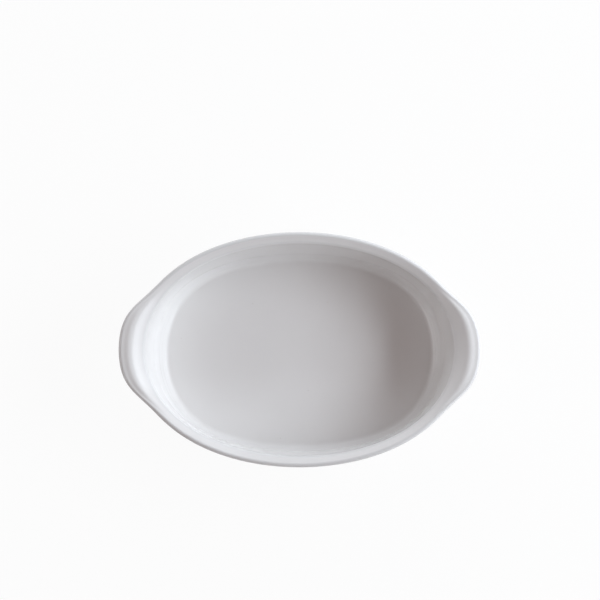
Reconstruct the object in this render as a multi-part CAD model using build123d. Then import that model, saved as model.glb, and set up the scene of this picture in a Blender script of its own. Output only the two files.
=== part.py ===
from build123d import *
import os
from math import copysign, cos, exp, pi, radians, sin, tan

os.makedirs("parts", exist_ok=True)

# An oval gratin dish of glazed stoneware with a lug handle at each end.
# Millimetres. X runs along the handles, Z is up, and the origin is on the table under the centre.

# Sizes of the glazed dish, seen from above
rim_length = 256.0        # over the rim, as if there were no handles
rim_width = 179.4         # over the rim on the long sides
end_band = 10.0           # width of the rim at the ends, in to the mouth
side_band = 8.4           # the same on the long sides
end_lean = 7.0            # the wall leans out by this much, from floor to mouth, at the ends
side_lean = 5.0
end_cove = 6.5            # the floor stops this far inside the wall's own line at the ends
side_cove = 3.7
rim_square_share = -0.0048     # how far each outline leans from an ellipse to a rectangle
floor_square_share = -0.0258
handle_reach = 9.5        # how far a handle stands out past the rim
handle_half = 38.3        # half the width of a handle
handle_square = 5.1       # a higher power makes the handle's end squarer

# Heights above the table
foot_height = 2.0
floor_height = 7.5
rim_height = 54.0
crest_height = 56.4       # top of the ridge that crosses each handle
end_cove_rise = 8.5       # from the floor up to where the cove turns into the wall, at the ends
side_cove_rise = 5.5

# Thickness, curves and slopes
wall = 5.0                # of the side wall
roll = 2.2                # radius of the rounded rim edge
handle_roll = 2.5         # radius of the rounded handle edge
handle_drop = 0.4         # from the ridge down to the top of the handle's edge
rim_slope = 28.0          # degrees, the rim's top rises outward
brim_slope = 0.0          # degrees, the handle's top is level at its edge
grip_slope = 13.0         # degrees, the handle's underside rises outward
end_cove_sweep = 4.5      # soft turn from cove to wall at the ends
side_cove_sweep = 3.0     # the same on the long sides
floor_sweep = 2.4         # tighter turn from floor to cove
base_sweep = 8.5          # curve from underside to outer wall
under_sweep = 2.4         # hollow below the rim
grip_sweep = 4.2          # hollow below a handle
mouth_sweep = 1.7         # soft inner edge of the rim
ridge_out = 2.3           # the ridge stands this far outside the rim's own outline
knee_in = 6.7             # the round run to the ridge starts this far inside it
knee_drop = 3.1           # and this far below the ridge
brim_out = 2.9            # the flat brim starts this far outside the ridge
brim_drop = 0.35          # and this far below it

# The foot, the glaze and the handles' joints
foot_inset = 2.0          # from the edge of the flat underside to the foot
foot_width = 5.0
foot_round = 0.8
glaze = 0.4
root_out = 1.0            # a handle starts this far outside the wall
handle_joint = 50.0       # half the width of the clay lump that makes a handle
overrun = 12.0            # every cut runs this far past what it cuts

# How finely the curves are followed: around the dish, and along each edge of a section
around = 64
steps = (6, 1, 5, 1, 5, 5, 12, 5, 1, 4, 1, 5)
lip = 5                   # this many edges lie below the outermost line of the rim


def at(out, up):
    """Point of a section: out from the centre and up from the table."""
    return Vector(out, 0, up)


def bend(before, corner, after, sweep):
    """Arc that rounds a corner and meets both sides at the sweep's distance from it."""
    first = corner + (before - corner).normalized() * sweep
    last = corner + (after - corner).normalized() * sweep
    return Edge.make_tangent_arc(first, corner - before, last)


def section(half, mouth, lean, cove, edge, edge_top, radius, slopes, hollow, crown):
    """Edges of one cut through the wall, from the underside over the rim to the floor."""
    inset, cove_rise, cove_sweep = cove
    low, top = radians(slopes[0]), radians(slopes[1])
    centre = at(edge - radius, edge_top - radius)
    lip_low = centre + at(sin(low), -cos(low)) * radius
    lip_top = centre + at(-sin(top), cos(top)) * radius
    base = at(mouth - lean + wall, foot_height)
    under_out = mouth + wall
    under = at(under_out, lip_low.Z - (lip_low.X - under_out) * tan(low))
    rise = radians(rim_slope)
    rim_centre = at(half - roll, rim_height - roll)
    rim_top = rim_centre + at(-sin(rise), cos(rise)) * roll
    brink = at(mouth, rim_top.Z - (rim_top.X - mouth) * tan(rise))
    wall_foot = at(mouth - lean, floor_height)
    cove_top = wall_foot + (brink - wall_foot) * (cove_rise / (brink.Z - floor_height))
    cove_foot = wall_foot - at(inset, 0)
    inward = at(cos(rise), sin(rise))
    arcs = [
        bend(at(0, foot_height), base, under, base_sweep),
        bend(base, under, lip_low, hollow),
        bend(brink + inward, brink, cove_top, mouth_sweep),
        bend(brink, cove_top, cove_foot, cove_sweep),
        bend(cove_top, cove_foot, at(0, floor_height), floor_sweep),
    ]
    tip = centre + at(radius, 0)
    if crown:
        points = [lip_top, *crown, arcs[2] @ 0]
        ends = [at(-cos(top), -sin(top)), at(-cos(rise), -sin(rise))]
        over = Edge.make_spline(points, tangents=ends)
    else:
        over = Edge.make_line(lip_top, arcs[2] @ 0)
    return [
        arcs[0],
        Edge.make_line(arcs[0] @ 1, arcs[1] @ 0),
        arcs[1],
        Edge.make_line(arcs[1] @ 1, lip_low),
        Edge.make_tangent_arc(lip_low, at(cos(low), sin(low)), tip),
        Edge.make_tangent_arc(tip, at(0, 1), lip_top),
        over,
        arcs[2],
        Edge.make_line(arcs[2] @ 1, arcs[3] @ 0),
        arcs[3],
        Edge.make_line(arcs[3] @ 1, arcs[4] @ 0),
        arcs[4],
    ]


def stations(edges, skin):
    """Points along a section, each moved in by the skin's thickness."""
    found = []
    for edge, count in zip(edges, steps):
        last = edge is edges[-1]
        for step in range(count + (1 if last else 0)):
            place, along = edge @ (step / count), edge % (step / count)
            found.append(place + at(-along.Z, along.X) * skin)
    return found


def ring(side, end, lug):
    """Closed curve around the dish through the same station of the three sections."""
    level = (end.Z - floor_height) / (rim_height - floor_height)
    level = min(max(level, 0), 1)
    square = floor_square_share + (rim_square_share - floor_square_share) * level
    points = []
    for step in range(around):
        turn = 2 * pi * step / around + pi / 2
        x = end.X * (cos(turn) + square * cos(3 * turn)) / (1 + square)
        y = side.X * (sin(turn) - square * sin(3 * turn)) / (1 + square)
        share = exp(-((abs(y) / handle_half) ** handle_square))
        x += copysign(1, x) * (lug.X - end.X) * share
        z = side.Z + (end.Z - side.Z) * cos(turn) ** 2 + (lug.Z - end.Z) * share
        points.append(Vector(x, y, z))
    marks = [step / around for step in range(around + 1)]
    return Wire([Edge.make_spline(points, periodic=True, parameters=marks)])


# The three cuts: across the dish, along it without a handle, and along it through a handle
side_mouth, end_mouth = rim_width / 2 - side_band, rim_length / 2 - end_band
side_turn = (side_cove, side_cove_rise, side_cove_sweep)
end_turn = (end_cove, end_cove_rise, end_cove_sweep)
side_cut = section(
    rim_width / 2, side_mouth, side_lean, side_turn,
    rim_width / 2, rim_height, roll, (rim_slope, rim_slope), under_sweep, [],
)
end_cut = section(
    rim_length / 2, end_mouth, end_lean, end_turn,
    rim_length / 2, rim_height, roll, (rim_slope, rim_slope), under_sweep, [],
)
ridge = at(rim_length / 2 + ridge_out, crest_height)
lug_cut = section(
    rim_length / 2, end_mouth, end_lean, end_turn,
    rim_length / 2 + handle_reach, crest_height - handle_drop, handle_roll,
    (grip_slope, brim_slope), grip_sweep,
    [ridge + at(brim_out, -brim_drop), ridge, ridge + at(-knee_in, -knee_drop)],
)


def skins(skin):
    """Bands of the outer and the inner skin, this far below the glazed surface, and their rings."""
    cuts = [stations(cut, skin) for cut in (side_cut, end_cut, lug_cut)]
    curves = [ring(*trio) for trio in zip(*cuts)]
    bands, start = [], 0
    for count in steps:
        bands.append(Shell.make_loft(curves[start:start + count + 1], ruled=count == 1))
        start += count
    return bands[:lip], bands[lip:], curves[0], curves[sum(steps[:lip])], curves[-1]


def sewn(*parts):
    """Solid closed by the given faces and bands."""
    return Solid(Shell([face for part in parts for face in part.faces()]))


def level_ring(side_out, end_out, up):
    """Level curve around the dish with the given half width and half length."""
    return ring(at(side_out, up), at(end_out, up), at(end_out, up))


# The glazed surface, and the clay surface one coat below it
outside, inside, base_line, rim_line, floor_line = skins(0)
clay_outside, clay_inside, clay_base, clay_rim, clay_floor = skins(glaze)

# Clay form, and the two coats of glaze that meet on the outermost line of the rim
clay = sewn(*clay_outside, *clay_inside, Face(clay_base), Face(clay_floor))
seam = Shell.make_loft([clay_rim, rim_line], ruled=True)
inner_glaze = sewn(*inside, Face(floor_line), *clay_inside, Face(clay_floor), seam)
outer_coat = sewn(*outside, Face(base_line), *clay_outside, Face(clay_base), seam)

# Bare clay foot: a ring under the flat of the underside, which parts the glaze there
side_flat, end_flat = (side_cut[0] @ 0).X, (end_cut[0] @ 0).X
side_foot, end_foot = side_flat - foot_inset, end_flat - foot_inset
foot_hole = level_ring(side_foot - foot_width, end_foot - foot_width, 0)
foot_face = Face(level_ring(side_foot, end_foot, 0), [foot_hole])
foot = Solid.extrude(foot_face, Vector(0, 0, (foot_height + floor_height) / 2))
foot = foot.fillet(foot_round, foot.edges().group_by(Axis.Z)[0])
clay = clay.fuse(foot).solid()
underside_glaze, outer_glaze = outer_coat.cut(foot).solids().sort_by(SortBy.VOLUME)

# The handles' clay is pressed on to the wall and into the rim, so the joints are cut there
side_root, end_root = side_mouth + wall + root_out, end_mouth + wall + root_out
root_face = Face(level_ring(side_root, end_root, rim_height))
root_face = root_face.moved(Location((0, 0, -rim_height - overrun)))
drum = Solid.extrude(root_face, Vector(0, 0, crest_height + 2 * overrun))
block_out = rim_length / 2 + handle_reach + overrun
block = Solid.make_box(2 * block_out, 2 * handle_joint, crest_height + overrun)
ends = block.moved(Location((-block_out, -handle_joint, 0))).cut(drum)
left_handle, right_handle = (clay & ends).solids().sort_by(Axis.X)
stoneware_body = clay.cut(ends).solid()

export_step(stoneware_body, "parts/stoneware_body.step")
export_step(left_handle, "parts/left_handle.step")
export_step(right_handle, "parts/right_handle.step")
export_step(inner_glaze, "parts/inner_glaze.step")
export_step(outer_glaze, "parts/outer_glaze.step")
export_step(underside_glaze, "parts/underside_glaze.step")
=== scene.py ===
# %% [markdown]
# # An oval gratin dish in white glaze
#
# This lesson dresses the plain solids of a small oval gratin dish: a fired clay form with a rim and
# two lug handles, coated in white glaze except for the foot that it stands on.
# The solids come in as a fixed frame. Each step below says what a piece or a finish is on the real
# dish, how it could be made in Blender, and why one way was chosen.

from math import cos, pi, radians, sin, tan

import bpy
import numpy as np
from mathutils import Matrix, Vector


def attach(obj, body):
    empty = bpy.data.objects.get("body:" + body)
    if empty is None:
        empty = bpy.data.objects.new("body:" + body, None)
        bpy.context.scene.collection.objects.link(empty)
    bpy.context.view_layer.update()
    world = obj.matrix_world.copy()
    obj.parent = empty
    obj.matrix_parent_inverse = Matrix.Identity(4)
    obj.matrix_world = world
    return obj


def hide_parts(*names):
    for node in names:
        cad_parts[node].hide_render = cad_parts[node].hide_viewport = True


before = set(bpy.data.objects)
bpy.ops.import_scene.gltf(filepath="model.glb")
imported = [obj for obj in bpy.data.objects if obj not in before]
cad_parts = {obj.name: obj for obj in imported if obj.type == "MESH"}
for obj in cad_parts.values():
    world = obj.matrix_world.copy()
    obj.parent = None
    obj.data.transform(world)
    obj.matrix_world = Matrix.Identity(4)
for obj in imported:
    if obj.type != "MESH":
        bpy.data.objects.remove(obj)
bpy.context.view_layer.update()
scene = bpy.context.scene
print("solids:", sorted(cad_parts))

# %% [markdown]
# ## Sizes
#
# The glaze is the surface that the eye sees, so it is drawn again here as a smooth fine surface,
# from the same sizes as the solids. They could be measured from the solids' meshes, but those are
# flat triangles; the drawing's own sizes give the true curves.

# %% Sizes of the dish in metres
MM = 0.001
rim_length, rim_width = 256.0 * MM, 179.4 * MM      # over the rim, without the handles
end_band, side_band = 10.0 * MM, 8.4 * MM           # width of the sloping rim
end_lean, side_lean = 7.0 * MM, 5.0 * MM            # how far the wall leans out
end_cove = (6.5 * MM, 8.5 * MM, 4.5 * MM)           # cove: inset, rise, soft turn to the wall
side_cove = (3.7 * MM, 5.5 * MM, 3.0 * MM)
floor_sweep = 2.4 * MM                              # tighter turn from floor to cove
rim_square_share, floor_square_share = -0.0048, -0.0258     # how each oval leans to a rectangle
handle_reach, handle_half = 9.5 * MM, 38.3 * MM     # past the rim, and half of its width
handle_square = 5.1                                 # a higher power makes its end squarer
foot_height, floor_height = 2.0 * MM, 7.5 * MM      # all heights are above the table
rim_height, crest_height = 54.0 * MM, 56.4 * MM     # the crest is the ridge across a handle
wall, handle_drop = 5.0 * MM, 0.4 * MM              # wall thickness, and from crest to edge
roll, handle_roll = 2.2 * MM, 2.5 * MM              # radii of the rounded edges
rim_slope, grip_slope = radians(28), radians(13)    # rim's top and handle's underside rise outward
brim_slope = 0.0                                    # a handle's top is level at its edge
base_sweep, under_sweep = 8.5 * MM, 2.4 * MM        # underside to wall, hollow below the rim
grip_sweep, mouth_sweep = 4.2 * MM, 1.7 * MM        # hollow below a handle, the rim's inner edge
ridge_out = 2.3 * MM                                # the ridge, outside the rim's own outline
knee_in, knee_drop = 6.7 * MM, 3.1 * MM             # from the ridge in to where its rise starts
brim_out, brim_drop = 2.9 * MM, 0.35 * MM           # from the ridge out to the brim
foot_inset, foot_width = 2.0 * MM, 5.0 * MM         # bare foot ring, in from the flat's edge
glaze = 0.4 * MM                                    # thickness of every coat
print("length over the handles:", round((rim_length + 2 * handle_reach) / MM, 1), "mm")

# %% How finely the curves are followed
around = 560                                                # points around the dish
fine = (20, 12, 14, 8, 10, 12, 30, 20, 8, 20, 18, 12)       # points on each edge of a section
coarse = (6, 3, 4, 2, 4, 5, 12, 5, 3, 4, 1, 4)              # the same where glaze meets clay
lip = 5                         # this many edges lie below the outermost line of the rim
cove_edge = 10                  # the place of the cove's straight part among the edges
print("points on the glazed surface:", around * (sum(fine) + 1))

# %% [markdown]
# ## Sections through the wall
#
# A potter's drawing of a dish is a section: up the outside, over the rim and down the inside.
# It could be a curve object swept around an oval, but this dish changes on its way round: the long
# sides, the ends and the handles each have a section of their own. So the three sections are drawn
# edge by edge with matching points, as lines, tangent arcs and one spline over the handle.


# %% Lines, arcs and the spline of a section
def unit(v):
    """Vector of length one in the same direction."""
    return v / np.linalg.norm(v)


def left_of(v):
    """Direction turned a quarter to the left, for one vector or for rows of them."""
    return np.stack([-v[..., 1], v[..., 0]], axis=-1)


def line(start, end, count):
    """Straight run: start plus an even share of the way to the end. Gives places and headings."""
    share = np.arange(count)[:, None] / count
    return start + (end - start) * share, np.repeat([unit(end - start)], count, axis=0)


def arc(start, heading, end, count):
    """Arc from start along heading to end: the heading turns evenly by twice the chord's angle,
    and each place is the start plus the radius times the change of the heading's left side."""
    chord = end - start
    half = np.arctan2(heading[0] * chord[1] - heading[1] * chord[0], heading @ chord)
    radius = np.linalg.norm(chord) / (2 * np.sin(half))
    angle = np.arctan2(heading[1], heading[0]) + 2 * half * np.arange(count) / count
    headings = np.stack([np.cos(angle), np.sin(angle)], axis=1)
    return start + radius * (left_of(heading) - left_of(headings)), headings


def corner_ends(before, corner, after, sweep):
    """Where a rounded corner starts and ends: the sweep's distance from it on both sides."""
    return corner + unit(before - corner) * sweep, corner + unit(after - corner) * sweep


def spline(points, first, last, count, finer=40):
    """Smooth curve through the points: a cubic on each chord whose second derivative is continuous,
    found from one linear system, with given headings at both ends. It is followed in steps that
    many times finer than wanted, and then spaced evenly by length."""
    points = np.array(points)
    chord = np.linalg.norm(np.diff(points, axis=0), axis=1)
    mark = np.concatenate([[0], np.cumsum(chord)])
    size = len(points)
    matrix, right = np.eye(size), np.zeros((size, 2))
    right[0], right[-1] = first, last
    for i in range(1, size - 1):
        a, b = chord[i - 1], chord[i]
        matrix[i, i - 1:i + 2] = b, 2 * (a + b), a
        right[i] = 3 * (b * (points[i] - points[i - 1]) / a + a * (points[i + 1] - points[i]) / b)
    slope = np.linalg.solve(matrix, right)
    u = np.linspace(0, mark[-1], finer * count + 1)
    k = np.clip(np.searchsorted(mark, u, side="right") - 1, 0, size - 2)
    h, s = chord[k][:, None], ((u - mark[k]) / chord[k])[:, None]
    place = ((1 + 2 * s) * (1 - s) ** 2 * points[k] + s * (1 - s) ** 2 * h * slope[k]
             + s * s * (3 - 2 * s) * points[k + 1] + s * s * (s - 1) * h * slope[k + 1])
    run = np.concatenate([[0], np.cumsum(np.linalg.norm(np.diff(place, axis=0), axis=1))])
    even = np.interp(run[-1] * np.arange(count) / count, run, u)
    at = np.stack([np.interp(even, u, place[:, c]) for c in (0, 1)], axis=1)
    ahead = np.stack([np.interp(even, u, np.gradient(place[:, c], u)) for c in (0, 1)], axis=1)
    return at, ahead / np.linalg.norm(ahead, axis=1)[:, None]


# %% The section itself
def section(half, mouth, lean, cove, edge, edge_top, radius, slopes, hollow, crown, counts):
    """Places and headings along one cut, edge by edge, from the underside over the rim and down to
    the floor. A straight run rises by its reach times the tangent of its slope, an angle in
    radians, and each corner where two runs meet is rounded by an arc with its own sweep."""
    low, top = slopes
    inset, cove_rise, cove_sweep = cove
    centre = np.array([edge - radius, edge_top - radius])
    lip_low = centre + radius * np.array([sin(low), -cos(low)])
    lip_top = centre + radius * np.array([-sin(top), cos(top)])
    tip = centre + np.array([radius, 0])
    base = np.array([mouth - lean + wall, foot_height])
    under_out = mouth + wall
    under = np.array([under_out, lip_low[1] - (lip_low[0] - under_out) * tan(low)])
    rim_centre = np.array([half - roll, rim_height - roll])
    rim_top = rim_centre + roll * np.array([-sin(rim_slope), cos(rim_slope)])
    brink = np.array([mouth, rim_top[1] - (rim_top[0] - mouth) * tan(rim_slope)])
    wall_foot = np.array([mouth - lean, floor_height])
    cove_top = wall_foot + (brink - wall_foot) * cove_rise / (brink[1] - floor_height)
    cove_foot = wall_foot - np.array([inset, 0])
    inward = np.array([cos(rim_slope), sin(rim_slope)])
    a0, a1 = corner_ends(np.array([0, foot_height]), base, under, base_sweep)
    b0, b1 = corner_ends(base, under, lip_low, hollow)
    c0, c1 = corner_ends(brink + inward, brink, cove_top, mouth_sweep)
    d0, d1 = corner_ends(brink, cove_top, cove_foot, cove_sweep)
    e0, e1 = corner_ends(cove_top, cove_foot, np.array([0, floor_height]), floor_sweep)
    if crown:
        over = spline([lip_top, *crown, c0], [-cos(top), -sin(top)], -inward, counts[6])
    else:
        over = line(lip_top, c0, counts[6])
    edges = [
        arc(a0, np.array([1.0, 0]), a1, counts[0]),
        line(a1, b0, counts[1]),
        arc(b0, unit(b0 - a1), b1, counts[2]),
        line(b1, lip_low, counts[3]),
        arc(lip_low, np.array([cos(low), sin(low)]), tip, counts[4]),
        arc(tip, np.array([0, 1.0]), lip_top, counts[5]),
        over,
        arc(c0, -inward, c1, counts[7]),
        line(c1, d0, counts[8]),
        arc(d0, unit(d0 - c1), d1, counts[9]),
        line(d1, e0, counts[10]),
        arc(e0, unit(e0 - d1), e1, counts[11]),
    ]
    places = np.concatenate([e[0] for e in edges] + [[e1]])
    headings = np.concatenate([e[1] for e in edges] + [[[-1.0, 0]]])
    return places, headings


def three_sections(counts):
    """The cuts through a long side, through an end without its handle, and through a handle."""
    rim = (rim_slope, rim_slope)
    side, end = rim_width / 2, rim_length / 2
    crown = [np.array([end + ridge_out + brim_out, crest_height - brim_drop]),
             np.array([end + ridge_out, crest_height]),
             np.array([end + ridge_out - knee_in, crest_height - knee_drop])]
    return (
        section(side, side - side_band, side_lean, side_cove,
                side, rim_height, roll, rim, under_sweep, [], counts),
        section(end, end - end_band, end_lean, end_cove,
                end, rim_height, roll, rim, under_sweep, [], counts),
        section(end, end - end_band, end_lean, end_cove,
                end + handle_reach, crest_height - handle_drop, handle_roll,
                (grip_slope, brim_slope), grip_sweep, crown, counts),
    )


fine_cuts, coarse_cuts = three_sections(fine), three_sections(coarse)
print("points on a section:", len(fine_cuts[0][0]), "fine and", len(coarse_cuts[0][0]), "coarse")

# %% [markdown]
# ### Faint rings in the cove
#
# In the photo, very faint bright arcs follow the cove at one end. Whether they are form or only
# mirrored light, it doesn't show. They are taken as form here, the same at both ends, and fade
# towards the long sides. They could be drawn as lighter lines in the material, but such a line
# doesn't change with the light. So the glazed surface itself is raised, by an eighth of a
# millimetre.

# %% Raise the rings
ring_height, ring_width = 0.13 * MM, 0.35 * MM
ring_places = (0.35, 1.0)       # shares of the way up the straight part of the cove


def with_rings(cut):
    """Cut with faint rings in its cove: points move out of the glaze by the ring's height times a
    bell curve, e to the minus square of their distance along the section over the ring's width."""
    place, heading = cut
    run = np.concatenate([[0], np.cumsum(np.linalg.norm(np.diff(place, axis=0), axis=1))])
    top, foot = run[sum(fine[:cove_edge])], run[sum(fine[:cove_edge + 1])]
    middles = foot + (top - foot) * np.array(ring_places)
    raised = ring_height * np.exp(-((run[:, None] - middles) / ring_width) ** 2).sum(1)
    return place - left_of(heading) * raised[:, None], heading


fine_cuts = (fine_cuts[0], with_rings(fine_cuts[1]), with_rings(fine_cuts[2]))
print("rings in the cove:", len(ring_places), "of height", round(ring_height / MM, 2), "mm")

# %% [markdown]
# ## From sections to a surface
#
# A subdivision surface on a rough cage would round the dish off by eye. Here the surface is a
# function of two numbers instead: how far along the section, and which way round the dish. Every
# point is worked out at once as an array, so the oval, the handles' reach and the ridge that
# crosses them stay exact.

# %% The surface as a function of section and direction
turn = 2 * pi * np.arange(around) / around


def oval(end_out, side_out, square):
    """Length and width of an oval: the cosine and the sine of each direction, with a little of
    their third harmonic, which leans the oval towards a rectangle."""
    x = end_out * (np.cos(turn) + square * np.cos(3 * turn)) / (1 + square)
    y = side_out * (np.sin(turn) - square * np.sin(3 * turn)) / (1 + square)
    return x, y


def dish(cuts, skin):
    """Grid of points, a row per station and a column per direction, this far below the surface.

    Each row is an oval. The handle's share is e to the minus power of the distance from the long
    axis over the handle's half width; it pushes the oval out to the handle's section and lifts it
    there. The height goes over from the side's to the end's by the square of the cosine."""
    side, end, lug = (place + left_of(heading) * skin for place, heading in cuts)
    side_out, end_out, lug_out = (cut[:, :1] for cut in (side, end, lug))
    side_up, end_up, lug_up = (cut[:, 1:] for cut in (side, end, lug))
    level = np.clip((end_up - floor_height) / (rim_height - floor_height), 0, 1)
    square = floor_square_share + (rim_square_share - floor_square_share) * level
    x, y = oval(end_out, side_out, square)
    share = np.exp(-((np.abs(y) / handle_half) ** handle_square))
    x = x + np.sign(np.cos(turn)) * (lug_out - end_out) * share
    z = side_up + (end_up - side_up) * np.cos(turn) ** 2 + (lug_up - end_up) * share
    return np.stack([x, y, z], axis=2)


tip_row_fine, tip_row_coarse = sum(fine[:lip]), sum(coarse[:lip])
glazed, backed = dish(fine_cuts, 0), dish(coarse_cuts, glaze)
reach = (glazed.reshape(-1, 3).max(0) / MM).round(2)
print("glazed surface:", glazed.shape, "reaches", reach, "mm")


# %% Rows of points to a closed mesh
def closed_mesh(name, rows, ring=False, marks=None):
    """Mesh over rows of points that each close on themselves. The first and last rows are joined to
    each other if ring is true, and otherwise each is closed with a fan to its middle point.

    The volume is a sixth of the sum over all quads of the cross product of the diagonals times the
    quad's middle. Where it is negative, the faces look inwards and are turned round."""
    count, size = rows.shape[:2]
    points = rows.reshape(-1, 3)
    index = np.arange(count * size).reshape(count, size)
    upper = np.concatenate([index, index[:1]]) if ring else index
    a, b = upper[:-1], upper[1:]
    quads = np.stack([a, np.roll(a, -1, 1), np.roll(b, -1, 1), b], axis=2).reshape(-1, 4)
    faces = quads.tolist()
    if not ring:
        points = np.concatenate([points, rows[:1].mean(1), rows[-1:].mean(1)])
        first, last = index[0], index[-1]
        faces += np.stack([np.roll(first, -1), first, np.full(size, count * size)], 1).tolist()
        faces += np.stack([last, np.roll(last, -1), np.full(size, count * size + 1)], 1).tolist()
    mesh = bpy.data.meshes.new(name)
    mesh.from_pydata(points.tolist(), [], faces)
    corners = points[quads]
    across, along = corners[:, 2] - corners[:, 0], corners[:, 3] - corners[:, 1]
    volume = (np.cross(across, along) * corners.mean(1)).sum() / 6
    if volume < 0:
        mesh.flip_normals()
    mesh.polygons.foreach_set("use_smooth", np.ones(len(mesh.polygons), bool))
    if marks is not None:
        values = np.concatenate([np.repeat(marks, size), np.zeros(len(points) - count * size)])
        layer = mesh.attributes.new("thin_glaze_and_edge_shade", "FLOAT", "POINT")
        layer.data.foreach_set("value", values.astype(np.float32))
    mesh.update()
    piece = bpy.data.objects.new(name, mesh)
    scene.collection.objects.link(piece)
    print(f"{name}: {len(points)} points, {sum(len(f) - 2 for f in faces)} triangles")
    return piece


# %% [markdown]
# ## The inner glaze
#
# Glaze is a glassy skin about 0.4 mm thick. A Solidify modifier could thicken a bare surface, but
# the coat has to lie on the clay, so its back is the clay's own surface, drawn one coat deeper and
# with fewer points because nobody sees it. The piece runs from the outermost line of the rim, over
# the rim and the handles, down to the floor.
#
# Glaze flows while it is molten. It thins over convex edges and gathers in the hollows, so each
# row is marked with how sharply its section bends outward. The material uses the mark later to grey
# the edges: partly the thin glaze, and partly painted shade, a darker line along the rounded edges.

# %% How sharply the glaze bends: thin glaze and painted edge shade
thin_radius = 2.2 * MM          # over a curve as tight as this, the coat lies at its thinnest
blur = np.array([1, 2, 3, 2, 1]) / 9    # evens the mark out over five rows


def edge_bend_share(cuts, rows):
    """Share from 0 to 1 by which the glaze lies thin and its edge gets painted shade: the section's
    outward turn per length times the thin radius, averaged over the cuts, kept from 0 to 1, and
    blurred along the section."""
    total = 0
    for place, heading in cuts:
        step = np.linalg.norm(np.diff(place, axis=0), axis=1)
        bend = np.diff(np.unwrap(np.arctan2(heading[:, 1], heading[:, 0]))) / step
        total = total + np.append(bend, bend[-1])
    share = np.clip(total / len(cuts) * thin_radius, 0, 1)[rows]
    return np.convolve(np.pad(share, len(blur) // 2, mode="edge"), blur, mode="valid")


# %% Make the inner glaze
flat_steps = 15                 # from the edge of a flat to its middle
shrink = np.linspace(1, 0, flat_steps)[1:-1]
shrink_half, shrink_third = shrink[::2], shrink[::3]


def flat_rings(outer, shares, up):
    """Rings on a flat, all at one height: a closed line times each share of its own size."""
    rings = outer[None] * shares[:, None, None]
    rings[..., 2] = up
    return rings


top = glazed[tip_row_fine:]
back = backed[tip_row_coarse:]
floor_rings = flat_rings(top[-1], shrink, floor_height)
clay_rings = flat_rings(back[-1], shrink_third, floor_height - glaze)
inner_rows = np.concatenate([floor_rings[::-1], top[::-1], back, clay_rings])
inner_edge_marks = np.concatenate([
    np.zeros(len(floor_rings)),
    edge_bend_share(fine_cuts, slice(tip_row_fine, None))[::-1],
    np.zeros(len(back) + len(clay_rings)),
])
inner_piece = closed_mesh("inner_glaze_coat", inner_rows, marks=inner_edge_marks)
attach(inner_piece, "root")
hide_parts("inner_glaze")

# %% [markdown]
# ## The outer and the underside glaze
#
# The outside coat starts on the same outermost line of the rim and ends beside the foot. Before
# firing, the potter wipes the foot clean, or the dish would stick to the kiln shelf. So the
# coat's edge is not a sharp cut: the molten glaze draws back into a small rounded bead. The patch
# inside the foot ring is a separate piece of the same glaze, with the same bead. A Bevel modifier
# could round the edge, but it would also catch the coat's other edge at the rim.

# %% The rounded edge beside the foot
side_flat, end_flat = fine_cuts[0][0][0, 0], fine_cuts[1][0][0, 0]
side_foot, end_foot = side_flat - foot_inset, end_flat - foot_inset
bead_steps = 7
bead_edge_marks = np.linspace(1, 0.4, bead_steps)     # thinnest where the glaze touches the foot


def bead(away, offset):
    """Rows of the glaze's rounded edge: a quarter circle, one coat in radius, from the flat to the
    side of the foot. It lies this far off the foot's outline, away 1 outside it and -1 inside."""
    angle = np.linspace(0, pi / 2, bead_steps)
    out = offset + away * glaze * (1 - np.sin(angle))
    up = foot_height + glaze * (1 - np.cos(angle))
    rows = []
    for o, u in zip(out, up):
        x, y = oval(end_foot + o, side_foot + o, floor_square_share)
        rows.append(np.stack([x, y, np.full(around, u)], axis=1))
    return np.stack(rows)


outer_bead, under_bead = bead(1, 0), bead(-1, -foot_width)
print("the foot is bare over", round(foot_width / MM, 1), "mm, with a bead on both sides")

# %% Make the outer glaze
outside = glazed[:tip_row_fine + 1]
outer_back = backed[:tip_row_coarse + 1]
outer_rows = np.concatenate([outer_bead[::-1], outside, outer_back[::-1]])
outer_edge_marks = np.concatenate([
    bead_edge_marks,
    edge_bend_share(fine_cuts, slice(None, tip_row_fine + 1)),
    np.zeros(len(outer_back)),
])
outer_piece = closed_mesh("outer_glaze_coat", outer_rows, ring=True, marks=outer_edge_marks)
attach(outer_piece, "root")
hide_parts("outer_glaze")

# %% Make the underside glaze
patch_rows = np.concatenate([
    flat_rings(under_bead[0], shrink_half, foot_height)[::-1],
    under_bead,
    flat_rings(under_bead[-1], shrink_third, foot_height + glaze),
])
patch_edge_marks = np.concatenate([
    np.zeros(len(shrink_half)), bead_edge_marks[::-1], np.zeros(len(shrink_third)),
])
under_piece = closed_mesh("underside_glaze_coat", patch_rows, marks=patch_edge_marks)
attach(under_piece, "root")
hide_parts("underside_glaze")


# %% [markdown]
# ## Materials
#
# Colours are written as the hex values that a paint chart gives, and one function turns them to the
# linear values that Blender mixes. One small function adds a node, sets its values and links it,
# so that each material below reads as a list.

# %% Colour and node helpers
def colour(hex_code):
    """Linear colour of an sRGB hex value. A channel up to 0.04045 is divided by 12.92; above it,
    0.055 is added, the sum is divided by 1.055 and raised to the power 2.4."""
    channel = np.array([int(hex_code[i:i + 2], 16) for i in (1, 3, 5)]) / 255
    linear = np.where(channel <= 0.04045, channel / 12.92, ((channel + 0.055) / 1.055) ** 2.4)
    return (*linear.tolist(), 1.0)


def add(tree, kind, values=None, links=None, **settings):
    """Adds a node of a kind, with its settings, its sockets' values and its incoming links."""
    node = tree.nodes.new(kind)
    for key, value in settings.items():
        setattr(node, key, value)
    for key, value in (values or {}).items():
        node.inputs[key].default_value = value
    for key, source in (links or {}).items():
        tree.links.new(source, node.inputs[key])
    return node


def new_material(name):
    """Empty material with its output node: gives the material, its tree and the output."""
    material = bpy.data.materials.new(name)
    material.use_nodes = True
    material.node_tree.nodes.clear()
    return material, material.node_tree, add(material.node_tree, "ShaderNodeOutputMaterial")
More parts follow.
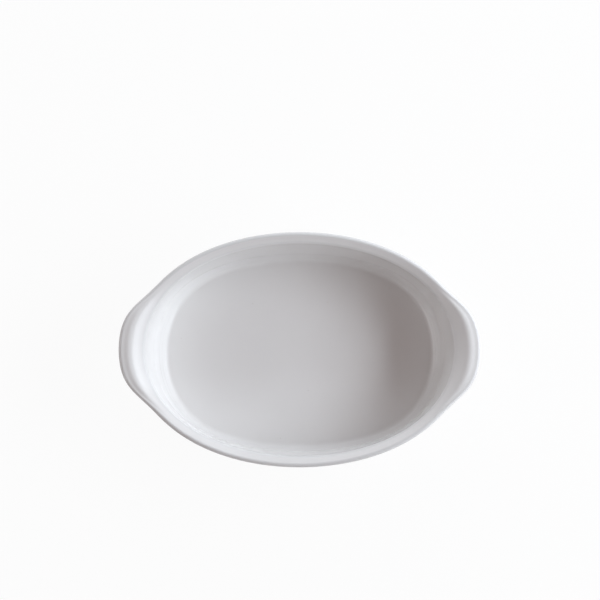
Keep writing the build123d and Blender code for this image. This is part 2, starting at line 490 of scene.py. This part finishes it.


# %% [markdown]
# ### White glaze
#
# The coat is an opaque white glaze, sprayed on and fired to a glassy surface. To the eye that gives
# a nearly white body colour with a soft gloss, very slightly uneven like calm water because the
# glaze flowed. Where it lies thin over an edge, it looks a little greyer; that grey is also painted
# shade, a darker line along the rounded edges. A few pinholes, where gas escaped, stay as dots
# about half a millimetre across.
#
# The coat is a solid piece of its own, so it could be made see-through over the clay. An opaque
# glaze shows no clay, though, and a plain colour renders faster and without noise.

# %% Make the white glaze
tone_size, haze_size, swell_size = 45 * MM, 12 * MM, 9 * MM     # clouds in colour, gloss and relief
pinhole_gap = 19 * MM
pinhole_core, pinhole_edge = 0.008, 0.014       # a dot's radius, as a share of the gap
swell_height, pinhole_depth = 0.03 * MM, 0.1 * MM
# how far an edge goes towards grey: partly thin glaze, partly painted shade on the rounded edges
edge_grey_and_shade_share = 0.35                          # how far a thin edge goes towards grey


def white_glaze():
    """Glazed stoneware: index of refraction 1.52 as for glass, roughness about 0.15."""
    material, tree, output = new_material("white glaze on stoneware")
    place = add(tree, "ShaderNodeTexCoord").outputs["Object"]
    cloud = add(tree, "ShaderNodeTexNoise", {"Scale": 1 / tone_size, "Detail": 2.0},
                {"Vector": place})
    drift = add(tree, "ShaderNodeMix", {"A": colour("#ECEBEA"), "B": colour("#F1F0EF")},
                {"Factor": cloud.outputs["Fac"]}, data_type="RGBA")
    thin = add(tree, "ShaderNodeAttribute", attribute_name="thin_glaze_and_edge_shade")
    edge_grey_amount = add(tree, "ShaderNodeMath", {1: edge_grey_and_shade_share}, {0: thin.outputs["Fac"]},
                      operation="MULTIPLY")
    # Convex edges are mixed towards grey: partly thin glaze, partly painted shade along the rounded
    # edges.
    edge = add(tree, "ShaderNodeMix", {"B": colour("#D4D5D6")},
               {"Factor": edge_grey_amount.outputs[0], "A": drift.outputs["Result"]}, data_type="RGBA")
    cell = add(tree, "ShaderNodeTexVoronoi", {"Scale": 1 / pinhole_gap, "Randomness": 1.0},
               {"Vector": place})
    hole = add(tree, "ShaderNodeMapRange",
               {"From Min": pinhole_core, "From Max": pinhole_edge, "To Min": 1.0, "To Max": 0.0},
               {"Value": cell.outputs["Distance"]})
    body = add(tree, "ShaderNodeMix", {"B": colour("#B9AFA4")},
               {"Factor": hole.outputs["Result"], "A": edge.outputs["Result"]}, data_type="RGBA")
    haze = add(tree, "ShaderNodeTexNoise", {"Scale": 1 / haze_size, "Detail": 3.0},
               {"Vector": place})
    rough = add(tree, "ShaderNodeMapRange", {"To Min": 0.13, "To Max": 0.18},
                {"Value": haze.outputs["Fac"]})
    swell = add(tree, "ShaderNodeTexNoise", {"Scale": 1 / swell_size, "Detail": 1.5},
                {"Vector": place})
    ripple = add(tree, "ShaderNodeBump", {"Strength": 0.2, "Distance": swell_height},
                 {"Height": swell.outputs["Fac"]})
    pit = add(tree, "ShaderNodeBump", {"Strength": 0.5, "Distance": pinhole_depth},
              {"Height": hole.outputs["Result"], "Normal": ripple.outputs["Normal"]}, invert=True)
    surface = add(tree, "ShaderNodeBsdfPrincipled", {"IOR": 1.52}, {
        "Base Color": body.outputs["Result"],
        "Roughness": rough.outputs["Result"],
        "Normal": pit.outputs["Normal"],
    })
    tree.links.new(surface.outputs["BSDF"], output.inputs["Surface"])
    return material


glaze_material = white_glaze()
for piece in (inner_piece, outer_piece, under_piece):
    piece.data.materials.append(glaze_material)
print("glaze on", [p.name for p in (inner_piece, outer_piece, under_piece)])


# %% [markdown]
# ### Bare fired clay
#
# The foot ring is unglazed stoneware. It is matt and faintly sandy, a warm off-white with darker
# grains of grog about half a millimetre across. The clay nodes are true as they came, so they
# stay, and only get this material.

# %% Make the bare clay
clay_tone_size, grain_gap, sand_size = 20 * MM, 1.6 * MM, 0.6 * MM
grain_core, grain_edge = 0.12, 0.2              # a grain's radius, as a share of the gap
sand_height = 0.08 * MM


def bare_clay():
    """Unglazed stoneware: roughness 0.9, dark grains in its colour and fine sand in its relief."""
    material, tree, output = new_material("bare fired stoneware")
    place = add(tree, "ShaderNodeTexCoord").outputs["Object"]
    cloud = add(tree, "ShaderNodeTexNoise", {"Scale": 1 / clay_tone_size, "Detail": 3.0},
                {"Vector": place})
    tone = add(tree, "ShaderNodeMix", {"A": colour("#D9CDBB"), "B": colour("#E4DACB")},
               {"Factor": cloud.outputs["Fac"]}, data_type="RGBA")
    grain = add(tree, "ShaderNodeTexVoronoi", {"Scale": 1 / grain_gap}, {"Vector": place})
    speck = add(tree, "ShaderNodeMapRange",
                {"From Min": grain_core, "From Max": grain_edge, "To Min": 0.6, "To Max": 0.0},
                {"Value": grain.outputs["Distance"]})
    body = add(tree, "ShaderNodeMix", {"B": colour("#A08F7B")},
               {"Factor": speck.outputs["Result"], "A": tone.outputs["Result"]}, data_type="RGBA")
    sand = add(tree, "ShaderNodeTexNoise", {"Scale": 1 / sand_size, "Detail": 2.0},
               {"Vector": place})
    relief = add(tree, "ShaderNodeBump", {"Strength": 0.5, "Distance": sand_height},
                 {"Height": sand.outputs["Fac"]})
    surface = add(tree, "ShaderNodeBsdfPrincipled", {"Roughness": 0.9, "IOR": 1.5}, {
        "Base Color": body.outputs["Result"], "Normal": relief.outputs["Normal"],
    })
    tree.links.new(surface.outputs["BSDF"], output.inputs["Surface"])
    return material


clay_material = bare_clay()
clay_names = ("stoneware_body", "left_handle", "right_handle")
for name in clay_names:
    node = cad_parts[name]
    node.data.materials.clear()
    node.data.materials.append(clay_material)
print("clay on", clay_names)


# %% [markdown]
# ## The studio
#
# The photo shows the dish on plain white with hardly a shadow. Here the floor sweeps up into a wall
# all round, as in a photo studio. A plane and a white sky would do for one view, but the sky would
# shine in the glaze from above, where the photo shows no such gloss. Instead the room gives a weak,
# warm light from all around, so that no shade goes black.

# %% Make the white sweep
paper_plain_share = 0.94        # the rest of the paper's look is its own shaded colour


def white_paper():
    """Matt white paper. To the camera, and in mirror images and through glass, it is mostly a plain
    white at strength 1, so it reads as the photo's background. To all other light it is matt."""
    material, tree, output = new_material("matt white paper")
    matt = add(tree, "ShaderNodeBsdfDiffuse", {"Color": colour("#F2F2F2")})
    plain = add(tree, "ShaderNodeEmission", {"Color": (1, 1, 1, 1), "Strength": 1.0})
    path = add(tree, "ShaderNodeLightPath")
    seen = add(tree, "ShaderNodeMath", None,
               {0: path.outputs["Is Camera Ray"], 1: path.outputs["Is Glossy Ray"]},
               operation="ADD")
    seen = add(tree, "ShaderNodeMath", None,
               {0: seen.outputs[0], 1: path.outputs["Is Transmission Ray"]},
               operation="ADD", use_clamp=True)
    share = add(tree, "ShaderNodeMath", {1: paper_plain_share}, {0: seen.outputs[0]},
                operation="MULTIPLY")
    mixed = add(tree, "ShaderNodeMixShader", None,
                {0: share.outputs[0], 1: matt.outputs[0], 2: plain.outputs[0]})
    tree.links.new(mixed.outputs[0], output.inputs["Surface"])
    return material


def sweep_rows(room_radius, bend_radius, room_height, count, bend_steps=9):
    """Rings of the studio sweep: the flat floor's edge, a quarter circle up, and the wall's top.
    Each ring is a circle, a cosine and a sine of the direction, at its own radius and height."""
    bend = np.linspace(0, pi / 2, bend_steps)
    out = np.append(room_radius - bend_radius * (1 - np.sin(bend)), room_radius)
    up = np.append(bend_radius * (1 - np.cos(bend)), room_height)
    way = 2 * pi * np.arange(count) / count
    ring = np.stack([np.cos(way), np.sin(way), np.ones(count)], axis=1)
    return ring[None] * np.stack([out, out, up], axis=1)[:, None]


rows = sweep_rows(room_radius=4.0, bend_radius=0.8, room_height=2.8, count=96)
index = np.arange(rows.shape[0] * rows.shape[1]).reshape(rows.shape[:2])
lower, upper = index[:-1], index[1:]
walls = np.stack([lower, upper, np.roll(upper, -1, 1), np.roll(lower, -1, 1)], axis=2)
faces = [index[0].tolist()] + walls.reshape(-1, 4).tolist()
sweep_mesh = bpy.data.meshes.new("white_sweep")
sweep_mesh.from_pydata(rows.reshape(-1, 3).tolist(), [], faces)
sweep_mesh.polygons.foreach_set("use_smooth", np.ones(len(sweep_mesh.polygons), bool))
sweep = bpy.data.objects.new("white_sweep", sweep_mesh)
scene.collection.objects.link(sweep)
sweep.data.materials.append(white_paper())
print("sweep:", len(sweep_mesh.polygons), "faces")

# %% Set the room's own light
scene.view_settings.view_transform = "Standard"
world = bpy.data.worlds.new("dim room")
scene.world = world
world.use_nodes = True
room = world.node_tree
room.nodes.clear()
fill = add(room, "ShaderNodeBackground", {"Color": colour("#FFE7E3"), "Strength": 0.20})
add(room, "ShaderNodeOutputWorld", None, {"Surface": fill.outputs[0]})
print("room light:", round(fill.inputs["Strength"].default_value, 2))

# %% [markdown]
# ### The lamps
#
# The shades in the photo ask for a large soft window low at the right, a weaker light behind the
# dish, and a white card at the left that fills the shade. Their powers and colours were chosen so
# that the tones of the render come near those of the photo.
#
# Mirrored in full, the window gave highlights far stronger than the photo's. So it is two lamps in
# one place: a third of the light also shines in the gloss, and the rest only lights the dish. The
# light behind the dish doesn't shine in the gloss at all. Real lamps can't be split like that, so
# from other sides the gloss looks weaker than on a real dish.

# %% Place the lights
lamp_distance = 1.5


def direction(azimuth, elevation):
    """Unit vector at an angle round from +X and an angle up, both in degrees."""
    a, e = radians(azimuth), radians(elevation)
    return np.array([cos(a) * cos(e), sin(a) * cos(e), sin(e)])


def aimed(obj, place, target):
    """Puts a light or camera at a place and turns it to look at the target."""
    obj.location = place
    look = Vector(target) - Vector(place)
    obj.rotation_euler = look.to_track_quat("-Z", "Y").to_euler()
    scene.collection.objects.link(obj)
    return obj


def soft_light(name, azimuth, elevation, size, hex_code, power, shine=True):
    """Rectangular area light at the lamps' distance from the dish, wide by high in metres, power in
    watts. Without shine it lights the dish but isn't mirrored in the glaze."""
    data = bpy.data.lights.new(name, "AREA")
    data.shape, data.size, data.size_y = "RECTANGLE", *size
    data.energy, data.color = power, colour(hex_code)[:3]
    place = lamp_distance * direction(azimuth, elevation)
    light = aimed(bpy.data.objects.new(name, data), place, (0, 0, 0))
    light.visible_camera = False
    light.visible_glossy = shine
    return light


window = (2, 32, (1.6, 0.6), "#F0F8FF")         # azimuth, elevation, size and colour
lamps = (
    soft_light("window_light", *window, power=7.6),
    soft_light("window_curtain", *window, power=15.9, shine=False),
    soft_light("rear_light", 92, 18, (1.2, 0.45), "#EFF8FF", power=9.4, shine=False),
    soft_light("left_card", 188, 20, (1.0, 0.4), "#FFFFFF", power=3.0),
)
print("lights:", [(lamp.name, round(lamp.data.energy, 1)) for lamp in lamps])

# %% [markdown]
# ### The camera
#
# The photo looks almost straight down, from a little in front of the dish, and the dish lies below
# the middle of the picture. The lens follows from the scale: at the rim's distance, the sensor's
# width has to show the photo's width in millimetres. The camera could be moved to put the dish off
# centre, but that would turn the view, so the picture is shifted instead.

# %% Place the camera
photo_px, px_per_mm = 600, 1.3164               # the photo's width, and its scale at the rim
rim_centre_px = (299.5, 349.0)                  # the rim's middle, from the left and from the top
camera_distance = 1.35                          # metres from the rim's middle, a guess
camera_azimuth, camera_elevation = -90, 86
camera_data = bpy.data.cameras.new("camera")
camera_data.sensor_width = 36.0
camera_data.lens = camera_data.sensor_width * camera_distance / (photo_px / px_per_mm * MM)
camera_data.shift_x = (photo_px / 2 - rim_centre_px[0]) / photo_px
camera_data.shift_y = (rim_centre_px[1] - photo_px / 2) / photo_px
rim_middle = np.array([0, 0, rim_height])
camera_place = rim_middle + camera_distance * direction(camera_azimuth, camera_elevation)
scene.camera = aimed(bpy.data.objects.new("camera", camera_data), camera_place, rim_middle)
print("lens:", round(camera_data.lens, 1), "mm, shift:", round(camera_data.shift_y, 4))
